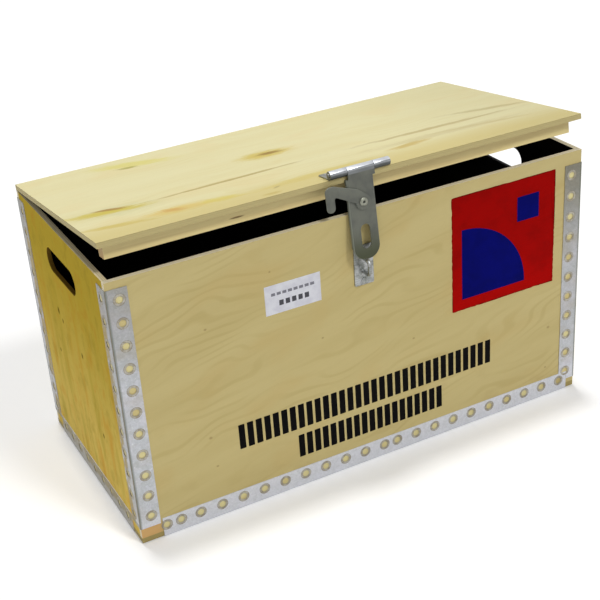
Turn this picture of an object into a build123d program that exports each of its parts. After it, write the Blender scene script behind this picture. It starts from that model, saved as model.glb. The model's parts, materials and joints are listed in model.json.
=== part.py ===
from build123d import *
from math import asin, atan, atan2, degrees, hypot
import os

os.makedirs("parts", exist_ok=True)

# All sizes are in millimetres. X runs to the right of the front, -Y is the front and Z is up.
# The origin is on the floor under the middle of the box.

# Plywood body, sizes outside the plywood
body_length = 613.0
body_depth = 303.0
rim_height = 333.0
ply = 6.5
half_length = body_length / 2
half_depth = body_depth / 2

# Divider that makes a narrow pocket at the right
divider_ply = 4.0
pocket_length = 65.5
divider_drop = 18.0
groove_depth = 2.0
groove_gap = 0.1

# Hand holes in the two ends
hand_hole_length = 100.0
hand_hole_height = 30.0
hand_hole_drop = 51.0
hand_hole_shift = 9.0
hand_hole_rounding = 1.5

# Perforated steel angle round the edges
steel = 0.8
flange = 25.0
bend_radius = 0.7
hole_pitch = 27.6
hole_line = 15.0
hole_radius = 5.25
dish_radius = 7.0
dish_taper = degrees(atan((dish_radius - hole_radius) / steel))
board_base = steel
floor_top = board_base + ply

# Corner posts: how far their ends stop below the rim and above the floor
left_post_drop = 9.0
left_post_foot = 20.0
right_post_drop = 16.5
right_post_foot = 14.0
first_hole_drop = 13.5
notch_gap = 0.3

# Bottom angles: the corners that they leave bare, and the rows of holes along the front one
bare_corner = 26.5
bare_side_corner = 27.0
front_angle_end_gap = 12.0
front_row_starts = (31.0, 73.6, 340.3)
front_row_pitches = (18.0, hole_pitch, hole_pitch)
row_end_gap = 10.0

# Two butt hinges on the back
hinge_spacing = 400.0
hinge_length = 60.0
hinge_leaf = 1.5
knuckle_radius = 3.5
middle_knuckle = 30.0
knuckle_gap = 0.3
hinge_pin_radius = 1.75
pin_gap = 0.05
back_leaf_drop = 27.5
lid_leaf_reach = 12.0
leaf_notch_gap = 0.3
hinge_y = half_depth + knuckle_radius
hinge_z = rim_height - knuckle_radius

# Countersunk wood screws
head_radius = 3.0
head_depth = 1.3
shank_radius = 1.5
screw_length = 5.5
long_screw_length = 14.0
screw_gap = 0.05
head_taper = degrees(atan((head_radius - shank_radius) / head_depth))
hinge_screw_spread = 20.0
back_screw_drop = 16.5

# Lid, with a batten across its front and back
batten_depth = 15.0
batten_height = 17.0
batten_inset = 13.0
batten_end_gap = 9.0
lid_top = rim_height + ply

# Hasp on the middle of the lid's front edge
hasp_width = 76.0
hasp_leaf = 1.8
hasp_leaf_reach = 24.0
barrel_radius = 5.0
barrel_lift = 0.3
hasp_pin_radius = 2.5
strap_knuckle = 33.5
barrel_gap = 0.3
pin_dome = 0.8
pin_chamfer = 0.5
hasp_screw_setback = 18.0
hasp_screw_places = (-30.0, -11.0, 11.0, 30.0)
barrel_y = -half_depth
barrel_z = lid_top + barrel_lift + barrel_radius

# Strap: a pressed channel that hangs from the barrel over the staple
strap_width = 34.5
strap_bend = 2.8
strap_drop = 104.8
strap_wall = 1.8
strap_depth = 4.5
strap_end_radius = 15.5
channel_top_drop = 9.0
slot_length = 29.0
slot_width = 12.0
strap_front_y = barrel_y - barrel_radius
strap_tip_z = barrel_z - strap_drop

# Staple and its plate on the front panel, a little left of the barrel's middle like the strap
latch_middle = -2.5
latch_height = 267.6
keeper_width = 25.0
keeper_height = 50.0
keeper_thickness = 1.5
keeper_corner = 2.0
keeper_rivet_spread = 40.0
keeper_rivet_radius = 2.0
keeper_head_radius = 4.0
keeper_head_height = 1.1
keeper_head_rounding = 0.9
staple_wire = 4.5
staple_height = 22.0
staple_reach = 17.0
staple_bend = 6.0

# Hooked lever that swings through the staple, and its rivet
lever_thickness = 2.0
lever_gap = 0.3
lever_drop = 36.4
lever_hub_radius = 9.0
lever_arm_height = 12.0
lever_shoulder_rise = 15.5
lever_arm_rise = 10.0
hook_reach = 45.5
hook_width = 10.5
hook_tip_drop = 3.4
hook_corner = 6.0
hook_tip_radius = 4.8
hook_inner_radius = 2.0
lever_shoulder = 12.0
lever_blend = 3.0
lever_root = (6.3, 6.3)
lever_root_left = -5.4
rivet_radius = 2.5
rivet_head_radius = 5.0
rivet_head_height = 1.8
rivet_head_rounding = 1.2
rivet_tail_radius = 4.0
rivet_tail_height = 1.0

# Blank contents label on the front
label_left = 178.0
label_width = 70.0
label_height = 36.0
label_middle_z = 257.0
label_thickness = 0.2

# The lid stands ajar because the tip of its strap rests on top of the staple.
rest_gap = 0.3
tip_reach = hinge_y - (strap_front_y + strap_wall)
tip_fall = hinge_z - strap_tip_z
tip_target = latch_height + staple_height / 2 + rest_gap - hinge_z
lid_open = degrees(asin(tip_target / hypot(tip_reach, tip_fall)) + atan2(tip_fall, tip_reach))
print("lid angle at rest", round(lid_open, 4))

lid_turn = (
    Location((0, hinge_y, hinge_z))
    * Location((0, 0, 0), (-lid_open, 0, 0))
    * Location((0, -hinge_y, -hinge_z))
)

# The three main planes as they stand on the lid: sketches on them use the closed lid's places.
lid_xy = Plane(lid_turn * Plane.XY.location)
lid_xz = Plane(lid_turn * Plane.XZ.location)
lid_yz = Plane(lid_turn * Plane.YZ.location)


# Labels a finished piece and writes it under the same name.
def finish(piece, name):
    piece.part.label = name
    export_step(piece.part, f"parts/{name}.step")


# Cuts countersunk screw holes, wide enough for the screws, down from a plane.
def cut_screw_holes(plane, places, depth):
    with BuildSketch(plane) as sinks:
        with Locations(*places):
            Circle(head_radius + screw_gap)
    extrude(sinks.sketch, amount=-head_depth, taper=head_taper, mode=Mode.SUBTRACT)
    cut_pilot_holes(plane, places, depth)


# Cuts plain holes for the screws' shanks down from a plane.
def cut_pilot_holes(plane, places, depth):
    with BuildSketch(plane) as pilots:
        with Locations(*places):
            Circle(shank_radius + screw_gap)
    extrude(pilots.sketch, amount=-depth, mode=Mode.SUBTRACT)


# Screws with flat heads in a plane and shanks that point away from it.
def add_screws(plane, places, length):
    with BuildSketch(plane) as heads:
        with Locations(*places):
            Circle(head_radius)
    extrude(heads.sketch, amount=-head_depth, taper=head_taper)
    with BuildSketch(plane) as shanks:
        with Locations(*places):
            Circle(shank_radius)
    extrude(shanks.sketch, amount=-length)


# One length of perforated angle. The frame's origin is the outside corner of the bend at one end,
# its X and Y run along the two flanges and its Z along the bend.
def perforated_angle(frame, length, places):
    flange_faces = (
        (Plane(frame.origin, x_dir=frame.x_dir, z_dir=-frame.y_dir), hole_line),
        (Plane(frame.origin, x_dir=-frame.y_dir, z_dir=-frame.x_dir), -hole_line),
    )
    with BuildPart() as angle:
        with BuildSketch(frame):
            Rectangle(flange, steel, align=(Align.MIN, Align.MIN))
            Rectangle(steel, flange, align=(Align.MIN, Align.MIN))
            fillet(vertices().sort_by_distance((0, 0))[0], bend_radius)
        extrude(amount=length)
        for face, across in flange_faces:
            with BuildSketch(face):
                with Locations(*[(across, place) for place in places]):
                    Circle(dish_radius)
            extrude(amount=-steel, taper=dish_taper, mode=Mode.SUBTRACT)
    return angle


# Hole places from the first one onwards that stay a dish's radius clear of the far end.
def row_of_holes(first, end):
    count = int((abs(end - first) - dish_radius) / hole_pitch) + 1
    step = hole_pitch if end > first else -hole_pitch
    return [first + step * index for index in range(count)]


# Hole places centred on a length of angle.
def centred_holes(length):
    count = int((length - 2 * dish_radius) / hole_pitch) + 1
    first = (length - (count - 1) * hole_pitch) / 2
    return [first + hole_pitch * index for index in range(count)]


# Bottom board, lying on the bottom flanges of the steel
with BuildPart() as bottom_board:
    with BuildSketch(Plane.XY.offset(board_base)):
        Rectangle(body_length, body_depth)
    extrude(amount=ply)
finish(bottom_board, "bottom_board")

panel_height = rim_height - floor_top
panel_middle_z = floor_top + panel_height / 2
divider_x = half_length - ply - pocket_length - divider_ply / 2
divider_height = rim_height - divider_drop - floor_top
keeper_rivet_places = [
    (latch_middle, latch_height + side * keeper_rivet_spread / 2) for side in (-1, 1)
]
hinge_places = (-hinge_spacing / 2, hinge_spacing / 2)
hinge_screw_steps = (-hinge_screw_spread, 0, hinge_screw_spread)
back_face = Plane((0, half_depth, 0), x_dir=(-1, 0, 0), z_dir=(0, 1, 0))
back_screw_places = [
    (-middle + step, hinge_z - back_screw_drop)
    for middle in hinge_places
    for step in hinge_screw_steps
]

# Front panel, full length, with the groove for the divider and the rivet holes of the keeper
with BuildPart() as front_panel:
    with BuildSketch(Plane.XZ.offset(half_depth)):
        with Locations((0, panel_middle_z)):
            Rectangle(body_length, panel_height)
    extrude(amount=-ply)
    with BuildSketch(Plane.XZ.offset(half_depth - ply)):
        with Locations((divider_x, floor_top)):
            Rectangle(
                divider_ply + 2 * groove_gap, divider_height + groove_gap,
                align=(Align.CENTER, Align.MIN),
            )
    extrude(amount=groove_depth, mode=Mode.SUBTRACT)
    with BuildSketch(Plane.XZ.offset(half_depth)):
        with Locations(*keeper_rivet_places):
            Circle(keeper_rivet_radius + screw_gap)
    extrude(amount=-ply, mode=Mode.SUBTRACT)
finish(front_panel, "front_panel")

# Back panel, with its groove, the notches for the lid's hinge leaves and the screw holes
with BuildPart() as back_panel:
    with BuildSketch(back_face):
        with Locations((0, panel_middle_z)):
            Rectangle(body_length, panel_height)
        with Locations(*[(-middle, rim_height) for middle in hinge_places]):
            Rectangle(
                hinge_length + 2 * knuckle_gap, hinge_leaf + leaf_notch_gap,
                align=(Align.CENTER, Align.MAX), mode=Mode.SUBTRACT,
            )
    extrude(amount=-ply)
    with BuildSketch(back_face.offset(-ply)):
        with Locations((-divider_x, floor_top)):
            Rectangle(
                divider_ply + 2 * groove_gap, divider_height + groove_gap,
                align=(Align.CENTER, Align.MIN),
            )
    extrude(amount=groove_depth, mode=Mode.SUBTRACT)
    cut_pilot_holes(back_face, back_screw_places, screw_length - hinge_leaf + screw_gap)
finish(back_panel, "back_panel")

# End panels between the front and the back, each with a hand hole
for side, outward in (("left", -1), ("right", 1)):
    outer_face = Plane.YZ.offset(outward * half_length)
    with BuildPart() as end_panel:
        with BuildSketch(outer_face):
            with Locations((0, panel_middle_z)):
                Rectangle(body_depth - 2 * ply, panel_height)
            with Locations((hand_hole_shift, rim_height - hand_hole_drop)):
                SlotOverall(hand_hole_length, hand_hole_height, mode=Mode.SUBTRACT)
        extrude(amount=-outward * ply)
        hole_z = rim_height - hand_hole_drop
        hole_edges = edges().filter_by(Axis.X, reverse=True)
        hole_edges = hole_edges.filter_by_position(Axis.Y, -hand_hole_length, hand_hole_length)
        hole_edges = hole_edges.filter_by_position(
            Axis.Z, hole_z - hand_hole_height, hole_z + hand_hole_height
        )
        fillet(hole_edges, hand_hole_rounding)
    finish(end_panel, f"{side}_panel")

# Divider, standing in the grooves of the front and back panels
with BuildPart() as divider:
    with BuildSketch(Plane.XY.offset(floor_top)):
        with Locations((divider_x, 0)):
            Rectangle(divider_ply, body_depth - 2 * ply + 2 * groove_depth)
    extrude(amount=divider_height)
finish(divider, "divider")

# Corner posts
front_angle_end = half_length - front_angle_end_gap
post_kinds = {
    "left": (-1, left_post_foot, rim_height - left_post_drop),
    "right": (1, right_post_foot, rim_height - right_post_drop),
}
for end, front_or_back in (("front", -1), ("back", 1)):
    for side, (outward, foot, top) in post_kinds.items():
        post_frame = Plane(
            (outward * (half_length + steel), front_or_back * (half_depth + steel), foot),
            x_dir=(-outward, 0, 0) if outward == front_or_back else (0, -front_or_back, 0),
            z_dir=(0, 0, 1),
        )
        post_holes = row_of_holes(top - first_hole_drop - foot, 0)
        post = perforated_angle(post_frame, top - foot, post_holes)
        if (end, side) == ("front", "right"):
            # The bottom angle's end passes under this post's front flange.
            with BuildPart() as notched_post:
                add(post.part)
                with BuildSketch(Plane.XZ.offset(half_depth)):
                    with Locations((front_angle_end + notch_gap, flange + notch_gap)):
                        Rectangle(flange, flange, align=(Align.MAX, Align.MAX))
                extrude(amount=steel, mode=Mode.SUBTRACT)
            post = notched_post
        finish(post, f"{end}_{side}_post")

# Bottom angles, wrapped under the bottom board. The front one reaches further to the right.
front_angle_start = -half_length + bare_corner
front_row_ends = (*front_row_starts[1:], front_angle_end + half_length)
front_holes = [
    first - bare_corner + pitch * index
    for first, end, pitch in zip(front_row_starts, front_row_ends, front_row_pitches)
    for index in range(int((end - first - row_end_gap) / pitch) + 1)
]
front_angle = perforated_angle(
    Plane((front_angle_start, -half_depth - steel, 0), x_dir=(0, 1, 0), z_dir=(1, 0, 0)),
    front_angle_end - front_angle_start,
    front_holes,
)
finish(front_angle, "front_bottom_angle")

back_angle_length = body_length - 2 * bare_corner
back_angle = perforated_angle(
    Plane((front_angle_start, half_depth + steel, 0), x_dir=(0, 0, 1), z_dir=(1, 0, 0)),
    back_angle_length,
    centred_holes(back_angle_length),
)
finish(back_angle, "back_bottom_angle")

side_angle_length = body_depth - 2 * bare_side_corner
for side, outward, x_dir in (("left", -1, (0, 0, 1)), ("right", 1, (-1, 0, 0))):
    side_angle = perforated_angle(
        Plane(
            (outward * (half_length + steel), -side_angle_length / 2, 0),
            x_dir=x_dir, z_dir=(0, 1, 0),
        ),
        side_angle_length,
        centred_holes(side_angle_length),
    )
    finish(side_angle, f"{side}_bottom_angle")

# Keeper plate on the front panel, with holes for its rivets and for the legs of the staple
staple_leg_places = [
    (latch_middle, latch_height + side * (staple_height - staple_wire) / 2) for side in (-1, 1)
]
with BuildPart() as keeper_plate:
    with BuildSketch(Plane.XZ.offset(half_depth)):
        with Locations((latch_middle, latch_height)):
            RectangleRounded(keeper_width, keeper_height, keeper_corner)
        with Locations(*keeper_rivet_places):
            Circle(keeper_rivet_radius + screw_gap, mode=Mode.SUBTRACT)
        with Locations(*staple_leg_places):
            Circle(staple_wire / 2 + screw_gap, mode=Mode.SUBTRACT)
    extrude(amount=keeper_thickness)
finish(keeper_plate, "keeper_plate")

# Rivets through the keeper and the front panel
keeper_front = Plane.XZ.offset(half_depth + keeper_thickness)
with BuildPart() as keeper_rivets:
    with BuildSketch(keeper_front):
        with Locations(*keeper_rivet_places):
            Circle(keeper_head_radius)
    extrude(amount=keeper_head_height)
    fillet(edges().group_by(Axis.Y)[0], keeper_head_rounding)
    with BuildSketch(keeper_front):
        with Locations(*keeper_rivet_places):
            Circle(keeper_rivet_radius)
    extrude(amount=-(keeper_thickness + ply))
finish(keeper_rivets, "keeper_rivets")

# Staple: a round-wire loop that stands upright on the panel
with BuildPart() as staple:
    with BuildLine(Plane.YZ.offset(latch_middle)) as staple_path:
        leg_z = (staple_height - staple_wire) / 2
        crown_y = -half_depth - staple_reach + staple_wire / 2
        FilletPolyline(
            (-half_depth, latch_height - leg_z),
            (crown_y, latch_height - leg_z),
            (crown_y, latch_height + leg_z),
            (-half_depth, latch_height + leg_z),
            radius=staple_bend,
        )
    with BuildSketch(Plane.XZ.offset(half_depth)):
        with Locations((latch_middle, latch_height - leg_z)):
            Circle(staple_wire / 2)
    sweep()
finish(staple, "staple")

# Back leaves of the hinges, with the outer knuckles, and their pins
for side, middle in zip(("left", "right"), hinge_places):
    with BuildPart() as back_leaf:
        with BuildSketch(Plane.YZ.offset(middle - hinge_length / 2)):
            with Locations((half_depth, hinge_z - back_leaf_drop)):
                Rectangle(hinge_leaf, back_leaf_drop, align=(Align.MIN, Align.MIN))
            with Locations((hinge_y, hinge_z)):
                Circle(knuckle_radius)
                Circle(hinge_pin_radius + pin_gap, mode=Mode.SUBTRACT)
        extrude(amount=hinge_length)
        with BuildSketch(Plane.YZ.offset(middle - middle_knuckle / 2 - knuckle_gap)):
            with Locations((hinge_y, hinge_z)):
                Circle(knuckle_radius + knuckle_gap)
        extrude(amount=middle_knuckle + 2 * knuckle_gap, mode=Mode.SUBTRACT)
        leaf_places = [(-middle + step, hinge_z - back_screw_drop) for step in hinge_screw_steps]
        cut_screw_holes(back_face.offset(hinge_leaf), leaf_places, hinge_leaf)
    finish(back_leaf, f"{side}_hinge_back_leaf")

    with BuildPart() as hinge_pin:
        with BuildSketch(Plane.YZ.offset(middle - hinge_length / 2)):
            with Locations((hinge_y, hinge_z)):
                Circle(hinge_pin_radius)
        extrude(amount=hinge_length)
    finish(hinge_pin, f"{side}_hinge_pin")

with BuildPart() as back_hinge_screws:
    add_screws(back_face.offset(hinge_leaf), back_screw_places, screw_length)
finish(back_hinge_screws, "back_hinge_screws")

# Contents label
with BuildPart() as contents_label:
    with BuildSketch(Plane.XZ.offset(half_depth)):
        with Locations((-half_length + label_left + label_width / 2, label_middle_z)):
            Rectangle(label_width, label_height)
    extrude(amount=label_thickness)
finish(contents_label, "contents_label")

# Screws of the lid's hinge leaves, seen from below the lid
lid_underside = Plane(lid_xy.offset(rim_height).origin, x_dir=-lid_xy.x_dir, z_dir=-lid_xy.z_dir)
lid_leaf_face = lid_underside.offset(hinge_leaf)
lid_screw_y = half_depth - ply / 2
lid_screw_places = [
    (-middle + step, lid_screw_y) for middle in hinge_places for step in hinge_screw_steps
]
hasp_screw_spots = [
    (place, -half_depth + hasp_screw_setback) for place in hasp_screw_places
]

# Lid board, with the screw holes of the hinges and of the hasp
with BuildPart() as lid_board:
    with BuildSketch(lid_xy.offset(rim_height)):
        Rectangle(body_length, body_depth)
    extrude(amount=ply)
    cut_pilot_holes(lid_leaf_face, lid_screw_places, screw_length + screw_gap)
    cut_pilot_holes(lid_xy.offset(lid_top), hasp_screw_spots, ply)
finish(lid_board, "lid_board")

# Battens under the lid
batten_length = body_length - 2 * batten_end_gap
for end, front_or_back in (("front", -1), ("back", 1)):
    batten_y = front_or_back * (half_depth - batten_inset - batten_depth / 2)
    with BuildPart() as batten:
        with BuildSketch(lid_xy.offset(rim_height)):
            with Locations((0, batten_y)):
                Rectangle(batten_length, batten_depth)
        extrude(amount=-batten_height)
        if end == "front":
            screw_depth = long_screw_length + screw_gap
            cut_pilot_holes(lid_xy.offset(lid_top + hasp_leaf), hasp_screw_spots, screw_depth)
    finish(batten, f"{end}_batten")

# Lid leaves of the hinges, with the middle knuckles
for side, middle in zip(("left", "right"), hinge_places):
    with BuildPart() as lid_leaf:
        with BuildSketch(lid_yz.offset(middle - hinge_length / 2)):
            with Locations((half_depth - lid_leaf_reach, rim_height)):
                Rectangle(
                    lid_leaf_reach + knuckle_radius, hinge_leaf, align=(Align.MIN, Align.MAX)
                )
        extrude(amount=hinge_length)
        with BuildSketch(lid_yz.offset(middle - hinge_length / 2 - knuckle_gap)):
            with Locations((hinge_y, hinge_z)):
                Circle(knuckle_radius + knuckle_gap)
        extrude(amount=hinge_length + 2 * knuckle_gap, mode=Mode.SUBTRACT)
        with BuildSketch(lid_yz.offset(middle - middle_knuckle / 2)):
            with Locations((half_depth - lid_leaf_reach, rim_height)):
                Rectangle(
                    lid_leaf_reach + knuckle_radius, hinge_leaf, align=(Align.MIN, Align.MAX)
                )
            with Locations((hinge_y, hinge_z)):
                Circle(knuckle_radius)
                Circle(hinge_pin_radius + pin_gap, mode=Mode.SUBTRACT)
        extrude(amount=middle_knuckle)
        leaf_places = [(-middle + step, lid_screw_y) for step in hinge_screw_steps]
        cut_screw_holes(lid_leaf_face, leaf_places, hinge_leaf)
    finish(lid_leaf, f"{side}_hinge_lid_leaf")

with BuildPart() as lid_hinge_screws:
    add_screws(lid_leaf_face, lid_screw_places, screw_length)
finish(lid_hinge_screws, "lid_hinge_screws")

# Hasp leaf on the lid, with the outer knuckles of the barrel
barrel_clear = barrel_radius + barrel_gap
with BuildPart() as hasp_plate:
    with BuildSketch(lid_yz.offset(-hasp_width / 2)):
        with Locations((barrel_y, lid_top)):
            Rectangle(hasp_leaf_reach, hasp_leaf, align=(Align.MIN, Align.MIN))
        with Locations((barrel_y, barrel_z)):
            Circle(barrel_radius)
            Circle(hasp_pin_radius + pin_gap, mode=Mode.SUBTRACT)
    extrude(amount=hasp_width)
    with BuildSketch(lid_yz.offset(-strap_knuckle / 2 - barrel_gap)):
        with Locations((barrel_y, barrel_z)):
            Rectangle(2 * barrel_clear, 2 * barrel_clear)
    extrude(amount=strap_knuckle + 2 * barrel_gap, mode=Mode.SUBTRACT)
    cut_screw_holes(lid_xy.offset(lid_top + hasp_leaf), hasp_screw_spots, hasp_leaf)
finish(hasp_plate, "hasp_leaf")

with BuildPart() as hasp_pin:
    with BuildSketch(lid_yz.offset(-hasp_width / 2 - pin_dome)):
        with Locations((barrel_y, barrel_z)):
            Circle(hasp_pin_radius)
    extrude(amount=hasp_width + 2 * pin_dome)
    chamfer(edges().filter_by(GeomType.CIRCLE), pin_chamfer)
finish(hasp_pin, "hasp_pin")

with BuildPart() as hasp_screws:
    add_screws(lid_xy.offset(lid_top + hasp_leaf), hasp_screw_spots, long_screw_length)
finish(hasp_screws, "hasp_screws")

# Strap: a channel with a rounded flat end, its knuckle, the slot for the staple and the hole
# for the lever's rivet. Its side flanges stop where the end's rounding starts.
strap_face = lid_xz.offset(-strap_front_y)
channel_top_z = barrel_z - channel_top_drop
channel_height = channel_top_z - strap_tip_z
rivet_z = barrel_z - lever_drop
with BuildPart() as hasp_strap:
    with BuildSketch(strap_face) as strap_outline:
        with Locations((latch_middle, strap_tip_z)):
            Rectangle(strap_width, channel_height, align=(Align.CENTER, Align.MIN))
        fillet(strap_outline.vertices().group_by(Axis.Y)[0], strap_end_radius)
    extrude(amount=-strap_depth)
    bent_face = faces().sort_by(Axis(strap_face.origin, strap_face.z_dir))[-1]
    bent_edges = bent_face.edges().sort_by(Axis(strap_face.origin, strap_face.y_dir))[:-1]
    fillet(bent_edges, strap_bend)
    with BuildSketch(strap_face.offset(-strap_wall)):
        with Locations((latch_middle, strap_tip_z)):
            Rectangle(
                strap_width - 2 * strap_wall, channel_height, align=(Align.CENTER, Align.MIN)
            )
            Rectangle(strap_width, strap_end_radius, align=(Align.CENTER, Align.MIN))
    extrude(amount=-strap_depth, mode=Mode.SUBTRACT)
    with BuildSketch(lid_yz.offset(-strap_knuckle / 2)):
        with Locations((strap_front_y, channel_top_z)):
            Rectangle(strap_wall, barrel_z - channel_top_z, align=(Align.MIN, Align.MIN))
        with Locations((barrel_y, barrel_z)):
            Circle(barrel_radius)
            Circle(hasp_pin_radius + pin_gap, mode=Mode.SUBTRACT)
    extrude(amount=strap_knuckle)
    with BuildSketch(strap_face):
        with Locations((latch_middle, latch_height)):
            SlotOverall(slot_length, slot_width, rotation=90)
        with Locations((latch_middle, rivet_z)):
            Circle(rivet_radius + pin_gap)
    extrude(amount=-strap_wall, mode=Mode.SUBTRACT)
finish(hasp_strap, "hasp_strap")

# Lever: a hub round the rivet, a rising arm to the left and a hook that hangs at its end
lever_back = strap_face.offset(lever_gap)
hook_left = -hook_reach
hook_right = hook_left + hook_width
arm_top = (lever_shoulder_rise + lever_arm_rise, lever_shoulder_rise)
with BuildPart() as latch_lever:
    with BuildSketch(lever_back):
        with Locations((latch_middle, rivet_z)):
            Circle(lever_hub_radius)
    extrude(amount=lever_thickness)
    lever_origin = Plane(
        lever_back.from_local_coords((latch_middle, rivet_z, 0)),
        x_dir=lever_back.x_dir, z_dir=lever_back.z_dir,
    )
    with BuildSketch(lever_origin):
        with BuildLine():
            FilletPolyline(
                lever_root,
                (lever_root_left, arm_top[1]),
                (hook_right, arm_top[0]),
                (hook_left, arm_top[0]),
                (hook_left, -hook_tip_drop),
                (hook_right, -hook_tip_drop),
                (hook_right, arm_top[0] - lever_arm_height),
                (-lever_hub_radius, 0),
                radius=[
                    lever_blend, lever_shoulder, lever_blend, hook_corner,
                    hook_tip_radius, hook_tip_radius, hook_inner_radius, lever_blend,
                ],
                close=True,
            )
        make_face()
    extrude(amount=lever_thickness)
    with BuildSketch(lever_origin):
        Circle(rivet_radius + pin_gap)
    extrude(amount=lever_thickness, mode=Mode.SUBTRACT)
finish(latch_lever, "latch_lever")

# Rivet that holds the lever on the strap
with BuildPart() as lever_rivet:
    with BuildSketch(lever_origin.offset(-lever_gap - strap_wall)):
        Circle(rivet_radius)
    extrude(amount=strap_wall + 2 * lever_gap + lever_thickness)
    with BuildSketch(lever_origin.offset(-lever_gap - strap_wall)):
        Circle(rivet_tail_radius)
    extrude(amount=-rivet_tail_height)
    with BuildSketch(lever_origin.offset(lever_thickness + lever_gap)):
        Circle(rivet_head_radius)
    extrude(amount=rivet_head_height)
    outward = Axis(lever_origin.origin, lever_origin.z_dir)
    fillet(faces().sort_by(outward)[-1].edges(), rivet_head_rounding)
finish(lever_rivet, "lever_rivet")
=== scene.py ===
import json
import math
import random

import bmesh
import bpy
from mathutils import Matrix, Vector


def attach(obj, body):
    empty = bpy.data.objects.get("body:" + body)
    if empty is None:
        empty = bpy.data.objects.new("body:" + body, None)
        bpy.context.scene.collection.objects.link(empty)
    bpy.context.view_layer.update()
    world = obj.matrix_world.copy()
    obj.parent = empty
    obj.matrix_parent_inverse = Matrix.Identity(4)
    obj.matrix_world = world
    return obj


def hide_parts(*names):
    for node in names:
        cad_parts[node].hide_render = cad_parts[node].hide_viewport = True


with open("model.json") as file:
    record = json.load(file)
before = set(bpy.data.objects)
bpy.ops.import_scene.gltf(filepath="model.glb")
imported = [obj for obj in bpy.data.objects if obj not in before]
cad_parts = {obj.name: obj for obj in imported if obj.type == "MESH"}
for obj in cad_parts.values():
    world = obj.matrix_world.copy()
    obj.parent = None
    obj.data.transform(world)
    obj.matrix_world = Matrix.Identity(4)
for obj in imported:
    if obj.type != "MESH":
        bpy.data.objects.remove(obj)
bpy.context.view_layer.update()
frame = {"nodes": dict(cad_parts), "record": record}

nodes = frame["nodes"]
mm = 0.001
print("frame loaded:", len(nodes), "parts")

# outside sizes of the box in mm, and how far its lid stands open about the rear hinges
box = {
    "halfLength": 306.5,
    "halfDepth": 151.5,
    "ply": 6.5,
    "steel": 0.8,
    "lidOpen": 7.0882,
    "hinge": (0.0, 155.0, 329.5),
}


def srgb(red, green, blue):
    def linear(value):
        value /= 255
        return value / 12.92 if value <= 0.04045 else ((value + 0.055) / 1.055) ** 2.4

    return (linear(red), linear(green), linear(blue), 1.0)


# shader maths as plain sums
class Sock:  # wraps one node socket; each operator adds its Math node
    def __init__(self, finish, socket):
        self.finish, self.socket = finish, socket

    def maths(self, operation, *values):
        return self.finish.add("ShaderNodeMath", {"operation": operation}, values)

    def __add__(self, other):
        return self.maths("ADD", self, other)

    def __sub__(self, other):
        return self.maths("SUBTRACT", self, other)

    def __rsub__(self, other):
        return self.maths("SUBTRACT", other, self)

    def __mul__(self, other):
        return self.maths("MULTIPLY", self, other)

    def __truediv__(self, other):
        return self.maths("DIVIDE", self, other)

    def __abs__(self):
        return self.maths("ABSOLUTE", self)

    def __gt__(self, other):
        return self.maths("GREATER_THAN", self, other)

    def __lt__(self, other):
        return self.maths("LESS_THAN", self, other)

    __radd__ = __add__
    __rmul__ = __mul__

    def least(self, other):
        return self.maths("MINIMUM", self, other)

    def most(self, other):
        return self.maths("MAXIMUM", self, other)

    def wave(self):
        return self.maths("SINE", self)

    def fraction(self):
        return self.maths("FRACT", self)

    def root(self):
        return self.maths("SQRT", self)

    def rise(self, low, high):  # goes smoothly from 0 at low to 1 at high
        return self.finish.add(
            "ShaderNodeMapRange", {"interpolation_type": "SMOOTHSTEP"}, (self, low, high, 0.0, 1.0)
        )

    def fall(self, low, high):
        return 1.0 - self.rise(low, high)

    def parts(self):
        split = self.finish.add("ShaderNodeSeparateXYZ", {}, (self,)).socket.node
        return [Sock(self.finish, output) for output in split.outputs]


def apart(first, second, squash=1.0):  # distance from two offsets, the second one weighted
    return (first * first + second * second * squash).root()


straight = 0.6  # a face counts as facing along an axis above this


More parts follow.
